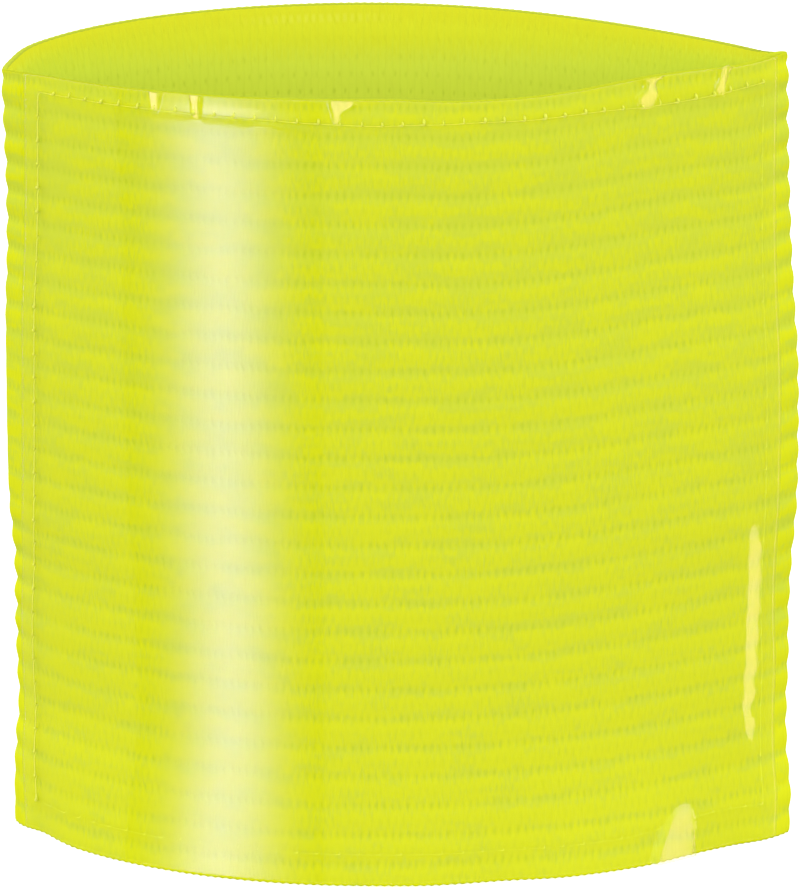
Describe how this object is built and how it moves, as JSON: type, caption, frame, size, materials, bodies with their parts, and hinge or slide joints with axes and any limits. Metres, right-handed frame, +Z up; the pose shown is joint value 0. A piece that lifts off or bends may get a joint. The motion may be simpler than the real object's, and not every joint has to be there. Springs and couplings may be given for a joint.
{
  "type": "elastic armband with clear window",
  "caption": "Open loop of ribbed knitted elastic with a clear vinyl sheet sewn over its front, worn round the upper arm.",
  "frame": {"origin": "on the surface the band stands on, under the middle of its outline", "axes": "+Z up the loop's axis, the clear window faces -Y, the two folds lie along X with the sharper one at +X"},
  "size_m": [0.1006, 0.0505, 0.1033],
  "materials": {
    "elastic": "matt ribbed knit",
    "vinyl": "clear, glossy"
  },
  "bodies": {
    "root": {"elastic_band": "elastic", "clear_window": "vinyl"}
  },
  "joints": []
}
